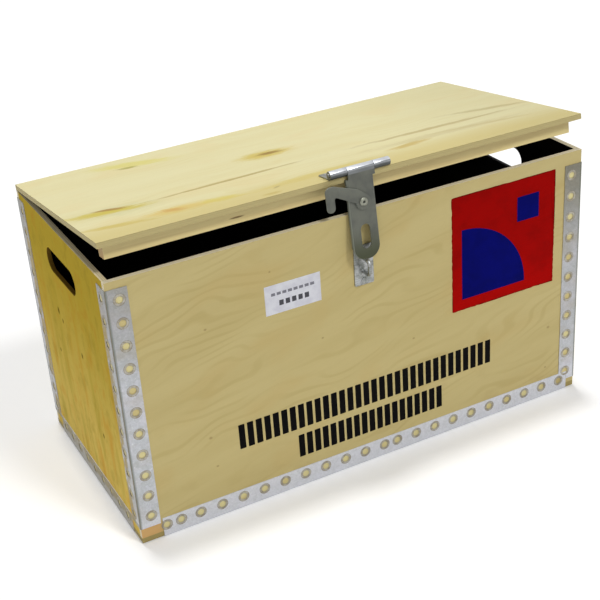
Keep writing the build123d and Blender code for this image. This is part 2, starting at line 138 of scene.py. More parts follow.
class Finish:  # one material, or the world, and the nodes in it
    def __init__(self, name, owner=None):
        self.material = owner or bpy.data.materials.new(name)
        self.material.use_nodes = True
        self.tree = self.material.node_tree
        self.tree.nodes.clear()

    def add(self, kind, settings, values, output=0):
        node = self.tree.nodes.new(kind)
        for key, value in settings.items():
            setattr(node, key, value)
        pairs = values.items() if isinstance(values, dict) else enumerate(values)
        for key, value in pairs:
            if isinstance(value, Sock):
                self.tree.links.new(value.socket, node.inputs[key])
            else:
                node.inputs[key].default_value = value
        return Sock(self, node.outputs[output]) if len(node.outputs) else None

    # place in mm and facing, both as if the lid were closed when the piece is on it
    def where(self, onLid=False):
        turn = math.radians(box["lidOpen"]) if onLid else 0.0
        hinge = Vector(box["hinge"])
        shift = hinge - Matrix.Rotation(turn, 3, "X") @ hinge
        metres = self.add("ShaderNodeTexCoord", {}, (), "Object")
        facing = Sock(self, metres.socket.node.outputs["Normal"])
        place = self.add("ShaderNodeMapping", {"vector_type": "POINT"}, {
            "Vector": metres, "Location": shift, "Rotation": (turn, 0, 0), "Scale": (1 / mm,) * 3,
        })
        facing = self.add("ShaderNodeMapping", {"vector_type": "VECTOR"}, {
            "Vector": facing, "Rotation": (turn, 0, 0),
        })
        return place, facing

    def vector(self, x, y, z=0.0):
        return self.add("ShaderNodeCombineXYZ", {}, (x, y, z))

    def noise(self, place, scale=1.0, detail=3.0, roughness=0.5):
        return self.add("ShaderNodeTexNoise", {}, {
            "Vector": place, "Scale": scale, "Detail": detail, "Roughness": roughness,
        })

    def cells(self, place, scale):  # a shade of its own for each cell
        colours = self.add("ShaderNodeTexVoronoi", {}, {"Vector": place, "Scale": scale}, "Color")
        return colours.parts()[0]

    def mix(self, first, second, share):
        return self.add("ShaderNodeMix", {"data_type": "RGBA"}, {0: share, 6: first, 7: second}, 2)

    def shade(self, colour, amount):
        return self.add("ShaderNodeVectorMath", {"operation": "SCALE"}, {0: colour, 3: amount})

    def bump(self, height, depth):  # depth in mm
        return self.add("ShaderNodeBump", {}, {
            "Strength": 1.0, "Distance": depth * mm, "Height": height,
        })

    def surface(self, colour, roughness, metallic=0.0, bump=None, **constants):
        values = {"Base Color": colour, "Roughness": roughness, "Metallic": metallic}
        if bump:
            values["Normal"] = bump
        for key, value in constants.items():
            values[key.replace("_", " ")] = value
        shader = self.add("ShaderNodeBsdfPrincipled", {}, values)
        self.add("ShaderNodeOutputMaterial", {}, {"Surface": shader})
        return self.material


# birch plywood: veneer on the faces, layers on the edges, dark film inside
# the front, back, left and right panels have near-white edges, and the front panel faint layers:
# painted light on their rims, which the lid shades
boards = {
    "front_panel": {
        "thin": 1, "grain": 0, "low": -151.5, "inner": 1, "seed": 3.1, "slant": 0.2, "figure": 0.55,
        "pale": srgb(208, 191, 132), "deep": srgb(196, 177, 116), "warm": srgb(204, 177, 112),
        "edge": srgb(255, 242, 208), "layers": 0.15,
    },
    "back_panel": {
        "thin": 1, "grain": 0, "low": 145.0, "inner": -1, "seed": 8.4, "slant": -0.1,
        "pale": srgb(212, 197, 138), "deep": srgb(196, 178, 118), "warm": srgb(204, 178, 112),
        "edge": srgb(252, 240, 206),
    },
    # the left panel's yellower, deeper colours are painted shade: it is the same birch as the right
    # panel
    "left_panel": {
        "thin": 0, "grain": 2, "low": -306.5, "inner": 1, "seed": 5.7, "gloss": 0.0,
        "pale": srgb(218, 193, 104), "deep": srgb(202, 174, 84), "warm": srgb(210, 174, 88),
        "edge": srgb(255, 240, 200),
    },
    "right_panel": {
        "thin": 0, "grain": 2, "low": 300.0, "inner": -1, "seed": 9.2,
        "pale": srgb(207, 189, 116), "deep": srgb(190, 168, 96), "warm": srgb(200, 168, 92),
        "edge": srgb(252, 240, 206),
    },
    "bottom_board": {
        "thin": 2, "grain": 0, "low": 0.8, "inner": 1, "seed": 2.3,
        "pale": srgb(202, 184, 122), "deep": srgb(180, 160, 100), "warm": srgb(196, 162, 100),
        "edge": srgb(176, 158, 98),
    },
    "lid_board": {
        "thin": 2, "grain": 0, "low": 333.0, "inner": -1, "seed": 6.6, "onLid": True, "layers": 0.3,
        "pale": srgb(226, 218, 170), "deep": srgb(220, 208, 152), "warm": srgb(224, 204, 146),
        "edge": srgb(200, 184, 128),
    },
}

# what all boards share; the scales are of noise, along and across the grain, per mm
plywoodLook = {
    "drift": (0.0055, 0.011), "flow": (0.004, 0.035), "cloud": (0.007, 0.018),
    "patch": (0.011, 0.02), "fine": (0.035, 0.85), "pores": (0.16, 2.4),
    "wander": 130.0,  # how far the contour lines of the peeled log wander, in mm
    "veneers": 5.0, "layers": 0.6, "figure": 0.34, "gloss": 0.3,
    "film": srgb(9, 9, 11), "filmWorn": srgb(20, 17, 16), "filmMesh": 1.6,
    "roughness": 0.56, "bump": 0.12,
}


def veneer(f, along, across, look):
    def streaks(kind, offset, detail, roughness=0.5, push=None):
        stretch, squeeze = plywoodLook[kind]
        side = across * squeeze if push is None else across * squeeze + push
        return f.noise(f.vector(along * stretch, side, look["seed"] + offset), 1.0, detail, roughness)

    drift = streaks("drift", 0, 2.0)
    figure = (((across + drift * plywoodLook["wander"]) * 0.5).wave() * 0.5 + 0.5).rise(0.55, 1.0)
    figure = figure * streaks("cloud", 11, 2.0).rise(0.42, 0.62)
    flow = streaks("flow", 4, 3.0).rise(0.3, 0.75)
    patch = streaks("patch", 7, 2.0).rise(0.5, 0.74)
    fine = streaks("fine", 2, 4.0, 0.65, drift * 20.0)
    pores = streaks("pores", 9, 1.0).rise(0.62, 0.78)
    strength = look.get("figure", plywoodLook["figure"])
    colour = f.mix(look["pale"], look["deep"], figure * strength + flow * 0.5)
    colour = f.mix(colour, look["warm"], patch * 0.35)
    colour = f.shade(colour, 0.955 + fine * 0.09 - pores * 0.07)
    return colour, fine, pores


def plywood(name, look, extra=None, edgeExtra=None):
    f = Finish("birch " + name.replace("_", " "))
    place, facing = f.where(look.get("onLid", False))
    axes, faces = place.parts(), facing.parts()
    thin, grain = look["thin"], look["grain"]
    cross = 3 - thin - grain
    across = axes[cross] - axes[grain] * look.get("slant", 0.0)
    colour, fine, pores = veneer(f, axes[grain], across, look)
    if extra:
        colour = extra(f, axes, colour)

    # layers on the edges: veneers with thin glue lines between them
    depth = (axes[thin] - look["low"]) / box["ply"] * plywoodLook["veneers"]
    glue = abs(depth.fraction() - 0.5).rise(0.38, 0.5)
    second = abs((depth * 0.5).fraction() - 0.5).rise(0.2, 0.3)
    run = f.noise(f.vector(axes[grain] * 0.05, axes[cross] * 0.05, depth * 1.7))
    layers = look.get("layers", plywoodLook["layers"])
    layered = f.mix(look["edge"], look["deep"], second * 0.5 * layers)
    layered = f.shade(layered, 1.03 - glue * 0.3 * layers - run * 0.1)
    if edgeExtra:
        layered = edgeExtra(f, axes, layered)
    onEdge = abs(faces[thin]) < straight
    colour = f.mix(colour, layered, onEdge)

    # dark phenolic film on the inner face, with the print of a fine mesh
    onFilm = (faces[thin] * look["inner"]) > straight
    worn = f.noise(place, 0.02, 4.0).rise(0.45, 0.75)
    colour = f.mix(colour, f.mix(plywoodLook["film"], plywoodLook["filmWorn"], worn), onFilm)
    pitch = plywoodLook["filmMesh"]
    mesh = ((axes[grain] * pitch).wave() * (axes[cross] * pitch).wave()) * onFilm * 0.25
    roughness = plywoodLook["roughness"] + fine * 0.1 - onFilm * 0.2
    bump = f.bump(fine * 0.5 - pores * 0.5 + mesh - onEdge * glue, plywoodLook["bump"])
    gloss = look.get("gloss", plywoodLook["gloss"])
    return f.surface(colour, roughness, bump=bump, Specular_IOR_Level=gloss)


def knotted(f, colour, away, radius, soft, tint, strength):  # soft: where its rim ends, in radii
    return f.mix(colour, tint, away.fall(radius * 0.4, radius * soft) * strength)


frontMarks = {
    "pinKnots": [  # X and Z in mm, radius
        (-202.0, 246.0, 1.3), (-210.0, 108.5, 1.6), (-205.5, 68.3, 1.2), (263.5, 101.0, 1.6),
        (260.5, 42.6, 1.2), (-60.0, 190.0, 1.1), (62.0, 150.0, 1.2), (-120.0, 292.0, 1.0),
    ],
    "knot": srgb(150, 120, 68),
    "bareCorner": srgb(224, 172, 108),  # below the left post
    "cornerX": (20, 30), "cornerZ": (19, 26),
    "grime": srgb(176, 150, 92), "grimeZ": (20, 120),
}


def frontExtras(f, axes, colour):
    x, _, z = axes
    for knotX, knotZ, radius in frontMarks["pinKnots"]:
        away = apart(x - knotX, z - knotZ, 1.6)
        colour = knotted(f, colour, away, radius, 2.0, frontMarks["knot"], 0.6)
    corner = (x + box["halfLength"]).fall(*frontMarks["cornerX"]) * z.fall(*frontMarks["cornerZ"])
    colour = f.mix(colour, frontMarks["bareCorner"], corner * 0.75)
    grime = f.noise(f.vector(x * 0.02, z * 0.03, 1.3), 1.0, 5.0, 0.6).rise(0.5, 0.8)
    return f.mix(colour, frontMarks["grime"], grime * z.fall(*frontMarks["grimeZ"]) * 0.35)


endMarks = {
    "knots": [  # Y and Z in mm, radius
        (48.0, 214.0, 3.0), (36.0, 205.0, 2.0), (-24.0, 186.0, 2.4), (70.0, 150.0, 1.8),
        (-60.0, 96.0, 2.0),
    ],
    "knot": srgb(84, 60, 22),
    "band": srgb(206, 152, 60), "greenBand": srgb(168, 150, 60), "shadeYellow": srgb(202, 175, 62),
    "blotch": srgb(202, 144, 52), "greenBlotch": srgb(156, 132, 50),
    "lessMarksAndShade": (-100, 100),  # X from where and to where the painted shade's yellowing and darkening, and the marks, weaken
    "shadeYellowZ": (40, 320), "shadeZ": (20, 320),
}


def endExtras(f, axes, colour):
    x, y, z = axes
    # the marks and the painted shade are full on the left panel and weak on the right one
    marksAndShade = 1.0 - x.rise(*endMarks["lessMarksAndShade"]) * 0.75
    band = f.noise(f.vector(y * 0.035, z * 0.006, 4.4))
    colour = f.mix(colour, endMarks["band"], band.rise(0.52, 0.66) * 0.55 * marksAndShade)
    colour = f.mix(colour, endMarks["greenBand"], (1.0 - band).rise(0.54, 0.7) * 0.4)
    # painted shade: yellower toward the top
    colour = f.mix(colour, endMarks["shadeYellow"], z.rise(*endMarks["shadeYellowZ"]) * marksAndShade * 0.95)
    blotch = f.noise(f.vector(y * 0.05, z * 0.03, 7.7), 1.0, 5.0, 0.65)
    colour = f.mix(colour, endMarks["blotch"], blotch.rise(0.52, 0.68) * 0.35 * marksAndShade)
    colour = f.mix(colour, endMarks["greenBlotch"], (1.0 - blotch).rise(0.5, 0.7) * 0.3 * marksAndShade)
    for knotY, knotZ, radius in endMarks["knots"]:
        away = apart(y - knotY, z - knotZ, 0.5)
        colour = knotted(f, colour, away, radius, 1.6, endMarks["knot"], marksAndShade * 0.8)
    # painted light and shade: brighter low down, darker toward the top
    return f.shade(colour, 1.1 + marksAndShade * 0.2 - z.rise(*endMarks["shadeZ"]) * 0.3 * marksAndShade)


handHole = {"middle": 9.0, "halfLength": 55.0, "low": 250.0, "high": 315.0, "wallShadeAndGrime": srgb(120, 92, 36)}


def handHoleEdge(f, axes, colour):
    _, y, z = axes
    inside = (abs(y - handHole["middle"]) < handHole["halfLength"]) * (z > handHole["low"])
    # painted shade in the hand hole, with handling grime: its walls darker brown
    return f.mix(colour, handHole["wallShadeAndGrime"], inside * (z < handHole["high"]))


lidMarks = {
    "streaks": [  # in the top veneer: X and Y of both ends, half width, colour, strength
        (-320, -50, -180, -70, 26.0, srgb(212, 206, 156), 0.8),
        (-239, -58, 10, -51, 4.6, srgb(176, 156, 92), 0.85),
        (10, -51, 306, -60, 6.5, srgb(182, 162, 106), 0.7),
        (183, -12, 330, -54, 8.0, srgb(184, 168, 112), 0.6),
        (100, -71, 306, -108, 5.0, srgb(196, 178, 122), 0.5),
        (-84, 15, 10, 11, 22.0, srgb(206, 184, 84), 0.9),
        (-52, 16, -8, 11, 8.0, srgb(146, 114, 44), 0.9),
        (-236, 134, -104, 94, 19.0, srgb(216, 206, 112), 0.8),
        (-198, 106, -162, 98, 6.5, srgb(168, 158, 66), 0.85),
        (-326, -47, -196, -66, 13.0, srgb(202, 184, 66), 0.9),
        (-280, -43, -232, -57, 6.5, srgb(160, 120, 46), 0.85),
        (-256, -108, -140, -116, 17.0, srgb(220, 190, 96), 0.85),
        (-222, -104, -188, -114, 9.0, srgb(204, 148, 60), 0.85),
        (-320, -101, -214, -125, 9.0, srgb(200, 178, 70), 0.8),
        (-180, -110, -120, -120, 12.0, srgb(216, 200, 76), 0.85),
        (-150, -123, 80, -111, 13.0, srgb(210, 190, 88), 0.7),
        (-95, -127, -82, -122, 3.0, srgb(92, 76, 56), 0.9),
        (-118, -142, -88, -143, 5.5, srgb(172, 142, 30), 0.9),
        (60, -102, 138, -92, 10.0, srgb(196, 168, 84), 0.8),
        (10, -80, 306, -92, 12.0, srgb(204, 190, 138), 0.6),
    ],
    "frontBand": srgb(208, 190, 120), "bandY": (-138, -84), "darkX": (60, 310),
    "topVeneer": srgb(150, 132, 80), "topVeneerZ": (338.4, 338.9),
}


def lidExtras(f, axes, colour):
    x, y, _ = axes
    ragged = f.noise(f.vector(x * 0.05, y * 0.4, 2.0), 1.0, 4.0, 0.6)
    for startX, startY, endX, endY, halfWidth, tint, strength in lidMarks["streaks"]:
        middleX, halfX = (startX + endX) / 2, (endX - startX) / 2
        slant = (endY - startY) / (endX - startX)
        u = (x - middleX) / halfX
        v = (y - (startY + endY) / 2 - (x - middleX) * slant) / halfWidth
        away = apart(u, v) + ragged * 1.4 - 0.7
        colour = f.mix(colour, tint, away.fall(0.3, 1.0) * strength)
    colour = f.mix(colour, lidMarks["frontBand"], y.fall(*lidMarks["bandY"]) * 0.75)
    return f.shade(colour, 1.0 - x.rise(*lidMarks["darkX"]) * 0.12)


def lidEdge(f, axes, colour):
    return f.mix(colour, lidMarks["topVeneer"], axes[2].rise(*lidMarks["topVeneerZ"]) * 0.35)


extras = {  # what is added on a board's faces, and on its edges
    "front_panel": (frontExtras, None),
    "left_panel": (endExtras, handHoleEdge),
    "right_panel": (endExtras, handHoleEdge),
    "lid_board": (lidExtras, lidEdge),
}


def dress(name, material):
    mesh = nodes[name].data
    mesh.materials.clear()
    mesh.materials.append(material)


for board, look in boards.items():
    dress(board, plywood(board, look, *extras.get(board, ())))


battens = {
    "seeds": {"front_batten": 1.7, "back_batten": 6.1},
    "pale": srgb(242, 222, 156), "ring": srgb(228, 205, 142),
    "endPale": srgb(206, 178, 118), "endDark": srgb(178, 140, 88),
    "heart": (-20.0, 300.0), "rings": 2.6,  # Y and Z of the log's middle, and how close its rings are
    "split": (-146.0, 322.8, 11.0, 1.3), "splitTint": srgb(120, 86, 40),  # X, Z, half sizes
}


def battenWood(name, seed):
    f = Finish(name)
    place, facing = f.where(onLid=True)
    x, y, z = place.parts()
    endGrain = abs(facing.parts()[0]) > straight
    rings = f.noise(f.vector(x * 0.004, y * 0.3 + z * 0.12, seed), 1.0, 3.0, 0.55)
    fine = f.noise(f.vector(x * 0.05, y * 1.4, z * 1.4 + seed), 1.0, 3.0, 0.6)
    colour = f.mix(battens["pale"], battens["ring"], rings.rise(0.38, 0.66))
    colour = f.shade(colour, 0.93 + fine * 0.13)
    heartY, heartZ = battens["heart"]
    circles = (apart(y - heartY, z - heartZ) * battens["rings"]).wave() * 0.5 + 0.5
    colour = f.mix(colour, f.mix(battens["endPale"], battens["endDark"], circles), endGrain)
    splitX, splitZ, halfLength, halfHeight = battens["split"]
    split = apart((x - splitX) / halfLength, (z - splitZ) / halfHeight).fall(0.4, 1.0)
    colour = f.mix(colour, battens["splitTint"], split * 0.85)
    return f.surface(colour, 0.6 + fine * 0.1, bump=f.bump(fine - split, 0.15))


for end, seed in battens["seeds"].items():
    dress(end, battenWood(end.replace("_", " ") + " wood", seed))
print("boards dressed")


# metal finishes
sheetZinc = {
    "pale": srgb(202, 204, 211), "spangle": srgb(184, 189, 189), "cloud": srgb(214, 212, 222),
    "foot": srgb(226, 227, 234), "footZ": (23, 40),  # painted light, lighter low down
    "fleck": srgb(222, 226, 226), "speck": srgb(120, 116, 116),
    "reflectionAndTarnish": srgb(116, 112, 92), "reflectionAndTarnishX": (-100, 200), "reflectionAndTarnishZ": (24, 120),
    "upperReflectionAndTarnishZ": (120, 326), "topReflectionAndTarnishZ": (180, 326),
    "warm": srgb(166, 156, 132), "warmZ": (26, 30),
    "stain": srgb(166, 144, 74), "stainFromBend": (9, 15),
    "endFlange": srgb(146, 140, 118), "endFlangeZ": (25, 26),
    "bend": srgb(104, 112, 98), "bendWidth": (0.8, 3.6),
    "curvedShadeAndDirt": srgb(132, 120, 100), "curvedShadeBelow": 0.97, "curvedShadeZ": 3.0,  # painted shade, with dirt: bends and hole walls
    "spangleSize": 0.16, "roughness": 0.5, "metal": 0.35, "bump": 0.1,
}


def zincSheet():
    f = Finish("galvanised sheet")
    place, facing = f.where()
    x, y, z = place.parts()
    steepX, steepY, steepZ = [abs(part) for part in facing.parts()]
    nearX = box["halfLength"] + box["steel"] - abs(x)
    nearY = box["halfDepth"] + box["steel"] - abs(y)
    toBend = (nearX + nearY).least(nearY + z).least(nearX + z)
    spangle = f.cells(place, sheetZinc["spangleSize"])
    cloud = f.noise(place, 0.03, 4.0, 0.6)
    specks = f.noise(place, 0.75, 2.0, 0.7).rise(0.66, 0.74)
    flecks = f.noise(place, 0.4, 1.0).rise(0.62, 0.72)
    colour = f.mix(sheetZinc["pale"], sheetZinc["spangle"], spangle * 0.6)
    colour = f.mix(colour, sheetZinc["cloud"], cloud.rise(0.45, 0.7) * 0.6)
    # painted light: lighter low down on the posts and along the bottom strips
    colour = f.mix(colour, sheetZinc["foot"], z.fall(*sheetZinc["footZ"]) * 0.55)
    colour = f.mix(colour, sheetZinc["fleck"], flecks * 0.5)
    colour = f.mix(colour, sheetZinc["speck"], specks * 0.6)
    # painted reflection and shade, with some tarnish: darker toward the top and toward the right
    reflectionAndTarnish = x.rise(*sheetZinc["reflectionAndTarnishX"]) * z.rise(*sheetZinc["reflectionAndTarnishZ"])
    reflectionAndTarnish = reflectionAndTarnish * (z.rise(*sheetZinc["upperReflectionAndTarnishZ"]) * 0.2 + 0.2)
    reflectionAndTarnish = reflectionAndTarnish + z.rise(*sheetZinc["topReflectionAndTarnishZ"]) * 0.5
    colour = f.mix(colour, sheetZinc["reflectionAndTarnish"], reflectionAndTarnish)
    warmth = f.noise(f.vector(x * 0.02, y * 0.02, z * 0.035), 1.0, 4.0, 0.6).rise(0.42, 0.7)
    colour = f.mix(colour, sheetZinc["warm"], warmth * z.rise(*sheetZinc["warmZ"]) * 0.35)
    mottle = f.noise(place, 0.45, 3.0, 0.8)
    colour = f.shade(colour, 0.74 + mottle * 0.58)
    onEnd = steepX > straight
    stain = f.noise(f.vector(0.3, y * 0.05, z * 0.03), 1.0, 4.0, 0.6).rise(0.4, 0.52)
    stain = toBend.rise(*sheetZinc["stainFromBend"]) * stain * onEnd
    colour = f.mix(colour, sheetZinc["stain"], stain * 0.85)
    colour = f.mix(colour, sheetZinc["endFlange"], z.fall(*sheetZinc["endFlangeZ"]) * onEnd * 0.6)
    colour = f.mix(colour, sheetZinc["bend"], (nearX + nearY).fall(*sheetZinc["bendWidth"]) * 0.75)
    # painted shade, with dirt: darker on the bends and in the hole walls
    curvedShadeAndDirt = steepX.most(steepY).most(steepZ) < sheetZinc["curvedShadeBelow"]
    colour = f.mix(colour, sheetZinc["curvedShadeAndDirt"], curvedShadeAndDirt * (z > sheetZinc["curvedShadeZ"]))
    roughness = sheetZinc["roughness"] + spangle * 0.12
    bump = f.bump(spangle * 0.4 + cloud, sheetZinc["bump"])
    return f.surface(colour, roughness, sheetZinc["metal"], bump)


roll = {
    "below": srgb(84, 87, 86), "above": srgb(206, 209, 214),
    "reflectionLine": srgb(88, 92, 94), "reflectionLineUp": 0.42,
}


def paintedRollLight(f, facing, cloud):  # painted light on a roll: painted shade below, a painted highlight on top, grey behind
    _, forth, up = facing.parts()
    light = up.rise(-0.25, 0.75) * (1.0 - forth.rise(-0.1, 0.5) * 0.6)
    colour = f.mix(roll["below"], roll["above"], light)
    reflectionLine = abs(up - roll["reflectionLineUp"]).fall(0.04, 0.16)  # painted reflection: a dark line along the roll
    colour = f.mix(colour, roll["reflectionLine"], reflectionLine * 0.7)
    return f.shade(colour, 0.82 + cloud.rise(0.3, 0.7) * 0.2)


brightLook = {
    "dull": srgb(124, 127, 122), "streak": srgb(76, 78, 64),
    "barrel": (-146.0, 339.0),  # the barrel is in front of this Y and above this Z
    "roughness": 0.24, "metal": 0.85, "bump": 0.03,
}


def brightZinc(name, bright, onLid=False):
    f = Finish(name)
    place, facing = f.where(onLid)
    x, y, z = place.parts()
    cloud = f.noise(place, 0.12, 4.0, 0.6)
    streak = f.noise(f.vector(x * 0.1, z * 0.9), 1.0, 3.0, 0.7).rise(0.48, 0.6)
    scratch = f.noise(f.vector(x * 2.2, z * 0.2), 1.0, 3.0, 0.7)
    colour = f.mix(bright, brightLook["dull"], cloud.rise(0.4, 0.7))
    colour = f.mix(colour, brightLook["streak"], streak * (0.7 if onLid else 0.3))
    colour = f.shade(colour, 0.94 + scratch * 0.1)
    if onLid:
        barrelY, barrelZ = brightLook["barrel"]
        # the barrel gets the painted highlight and shade of a roll
        colour = f.mix(colour, paintedRollLight(f, facing, cloud), (y < barrelY) * (z > barrelZ))
    roughness = brightLook["roughness"] + cloud * 0.16
    return f.surface(colour, roughness, brightLook["metal"], f.bump(scratch, brightLook["bump"]))


dullLook = {
    "grey": srgb(108, 110, 100), "dark": srgb(92, 94, 88), "rubbed": srgb(128, 130, 124),
    "foot": srgb(60, 65, 36), "footZ": (242, 284), "arrisHighlight": srgb(142, 148, 140),
    "roughness": 0.5, "metal": 0.45, "bump": 0.06, "knuckle": 341.8,
}


def dullZinc(name, brightAbove=None):
    f = Finish(name)
    place, facing = f.where(onLid=True)
    x, y, z = place.parts()
    cloud = f.noise(place, 0.05, 4.0, 0.6)
    grit = f.noise(place, 1.3, 3.0, 0.7)
    rub = f.noise(f.vector(x * 0.25, y * 0.25, z * 0.06), 1.0, 4.0, 0.6)
    colour = f.mix(dullLook["grey"], dullLook["dark"], cloud.rise(0.35, 0.7))
    colour = f.mix(colour, dullLook["rubbed"], rub.rise(0.6, 0.8) * 0.35)
    # painted shade: darker and greener toward the strap's curled lower end
    colour = f.mix(colour, dullLook["foot"], z.fall(*dullLook["footZ"]) * 0.85)
    # painted highlight: lighter on the plate's edges
    colour = f.mix(colour, dullLook["arrisHighlight"], (abs(facing.parts()[1]) < 0.8) * 0.6)
    colour = f.shade(colour, 0.95 + grit * 0.1)
    roughness, metal = dullLook["roughness"] + grit * 0.12, dullLook["metal"]
    if brightAbove:  # the knuckle is smoother, more metallic zinc, with the painted highlight and shade of a roll
        rolled = z > brightAbove
        colour = f.mix(colour, paintedRollLight(f, facing, cloud), rolled)
        roughness, metal = roughness - rolled * 0.24, metal + rolled * 0.4
    return f.surface(colour, roughness, metal, f.bump(grit * 0.5 + cloud, dullLook["bump"]))


galvanised = zincSheet()
for corner in ("front_left", "front_right", "back_left", "back_right"):
    dress(corner + "_post", galvanised)
for side in ("front", "back", "left", "right"):
    dress(side + "_bottom_angle", galvanised)
bodyZinc = brightZinc("bright zinc on the box", srgb(178, 180, 180))
lidZinc = brightZinc("bright zinc on the lid", srgb(158, 157, 150), True)
for name in ("keeper_plate", "keeper_rivets", "left_hinge_back_leaf", "right_hinge_back_leaf",
             "left_hinge_pin", "right_hinge_pin"):
    dress(name, bodyZinc)
for name in ("left_hinge_lid_leaf", "right_hinge_lid_leaf", "hasp_pin"):
    dress(name, lidZinc)


def darkBoard():
    f = Finish("dark divider board")
    place, _ = f.where()
    cloud = f.noise(place, 0.04, 4.0)
    colour = f.mix(srgb(11, 11, 13), srgb(26, 22, 20), cloud.rise(0.4, 0.75))
    return f.surface(colour, 0.42 + cloud * 0.15, bump=f.bump(f.noise(place, 1.2, 2.0), 0.05))


dress("divider", darkBoard())


# helpers for meshes
def newPiece(name, mesh, material):
    mesh.materials.clear()
    mesh.materials.append(material)
    piece = bpy.data.objects.new(name, mesh)
    bpy.context.scene.collection.objects.link(piece)
    return piece


def settle(piece):  # its modifiers become its mesh
    graph = bpy.context.evaluated_depsgraph_get()
    graph.update()
    mesh = bpy.data.meshes.new_from_object(piece.evaluated_get(graph), depsgraph=graph)
    mesh.name = piece.name
    piece.modifiers.clear()
    piece.data = mesh
    smooth(mesh)
    return mesh


def smooth(mesh, angle=35.0):
    mesh.shade_smooth()
    mesh.set_sharp_from_angle(angle=math.radians(angle))


# copies of CAD parts with their arrises rounded over, which then stand for them
soft = {
    "weld": 0.005, "flatAngle": 1.0, "arrisAngle": 40.0, "segments": 3,
    "parts": {  # width of the rounding in mm, finish, body, slot
        "hasp_strap": (0.7, dullZinc("dull zinc strap", dullLook["knuckle"]), "strap", "dull_zinc"),
        "latch_lever": (0.45, dullZinc("dull zinc lever"), "lever", "dull_zinc"),
        "hasp_leaf": (0.2, lidZinc, "lid", "bright_zinc"),
        "staple": (0.2, bodyZinc, "body", "bright_zinc"),
    },
}
for node, (width, material, body, slot) in soft["parts"].items():
    mesh = nodes[node].data.copy()
    work = bmesh.new()
    work.from_mesh(mesh)
    bmesh.ops.remove_doubles(work, verts=work.verts, dist=soft["weld"] * mm)
    bmesh.ops.dissolve_limit(
        work, angle_limit=math.radians(soft["flatAngle"]), verts=work.verts, edges=work.edges
    )
    work.to_mesh(mesh)
    work.free()
    piece = newPiece(node.replace("_", "") + ".soft", mesh, material)
    bevel = piece.modifiers.new("arrises", "BEVEL")
    bevel.width, bevel.segments = width * mm, soft["segments"]
    bevel.limit_method, bevel.angle_limit = "ANGLE", math.radians(soft["arrisAngle"])
    bevel.use_clamp_overlap = True
    settle(piece)
    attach(piece, body)
    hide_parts(node)
print("metal parts dressed")


# geometry node trees for what repeats
class Tree:  # one geometry node tree and its named inputs
    def __init__(self, name, inputs):
        self.group = bpy.data.node_groups.new(name, "GeometryNodeTree")
        face = self.group.interface
        face.new_socket("Geometry", in_out="INPUT", socket_type="NodeSocketGeometry")
        self.names = {}
        for label, kind in inputs:
            socket = face.new_socket(label, in_out="INPUT", socket_type="NodeSocket" + kind)
            self.names[label] = socket.identifier
        face.new_socket("Geometry", in_out="OUTPUT", socket_type="NodeSocketGeometry")
        self.given = self.group.nodes.new("NodeGroupInput")

    def add(self, kind, settings, values, output=0):
        node = self.group.nodes.new(kind)
        for key, value in settings.items():
            setattr(node, key, value)
        for key, value in values.items():
            if isinstance(value, bpy.types.NodeSocket):
                self.group.links.new(value, node.inputs[key])
            elif isinstance(value, list):
                for link in value:
                    self.group.links.new(link, node.inputs[key])
            else:
                node.inputs[key].default_value = value
        return node.outputs[output]

    def take(self, label):
        return self.given.outputs[label]

    # an instance on each point that came in, turned to the point's facing, then one mesh
    def close(self, shape, spin=None):
        facing = self.add(
            "GeometryNodeInputNamedAttribute", {"data_type": "FLOAT_VECTOR"}, {"Name": "facing"}
        )
        values = {"Vector": facing}
        if spin:
            values["Rotation"] = spin
        turn = self.add("FunctionNodeAlignRotationToVector", {"axis": "Z"}, values)
        placed = self.add(
            "GeometryNodeInstanceOnPoints", {},
            {"Points": self.take("Geometry"), "Instance": shape, "Rotation": turn},
        )
        real = self.add("GeometryNodeRealizeInstances", {}, {"Geometry": placed})
        done = self.add(
            "GeometryNodeSetMaterial", {}, {"Geometry": real, "Material": self.take("Material")}
        )
        self.group.links.new(done, self.group.nodes.new("NodeGroupOutput").inputs[0])

    def make(self, name, points, values, material, body):  # points: (place, facing) in mm
        mesh = bpy.data.meshes.new(name)
        mesh.from_pydata([Vector(place) * mm for place, _ in points], [], [])
        facing = mesh.attributes.new("facing", "FLOAT_VECTOR", "POINT")
        facing.data.foreach_set("vector", [c for _, direction in points for c in direction])
        piece = newPiece(name, mesh, material)
        modifier = piece.modifiers.new(name, "NODES")
        modifier.node_group = self.group
        for label, value in values.items():
            modifier[self.names[label]] = value
        modifier[self.names["Material"]] = material
        finished = settle(piece)
        if finished.attributes.get("facing"):
            finished.attributes.remove(finished.attributes["facing"])
        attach(piece, body)
        return piece


# holes of the steel: a rolled burr round each, its dark colour painted shade of the countersink with
# dirt, and the plywood that bulges into it
holes = {
    "pitch": 27.6, "line": 15.0, "radius": 5.25, "burrIn": 4.2, "burrOut": 6.8,
    "burrSides": 14, "burrRise": 0.26, "plugRise": 0.3, "plugTop": 4.2, "plugSides": 16,
    "plugSink": 0.02,
    "postTops": {-1: 324.0, 1: 316.5}, "belowTop": 13.5, "onPost": 11,  # left and right posts
    "frontRuns": ((31.0, 18.0, 2), (73.6, 27.6, 10), (340.3, 27.6, 10)),  # start, pitch, count
    "backStart": -262.2, "backCount": 20, "endStart": -110.4, "endCount": 9,
}
outX, outY = box["halfLength"] + box["steel"], box["halfDepth"] + box["steel"]
lineX, lineY = outX - holes["line"], outY - holes["line"]
frontRow = [start + pitch * index - box["halfLength"]
            for start, pitch, count in holes["frontRuns"] for index in range(count)]
holePoints = []
for side, top in holes["postTops"].items():
    for end in (-1, 1):
        for index in range(holes["onPost"]):
            z = top - holes["belowTop"] - holes["pitch"] * index
            holePoints.append(((side * lineX, end * outY, z), (0, end, 0)))
            holePoints.append(((side * outX, end * lineY, z), (side, 0, 0)))
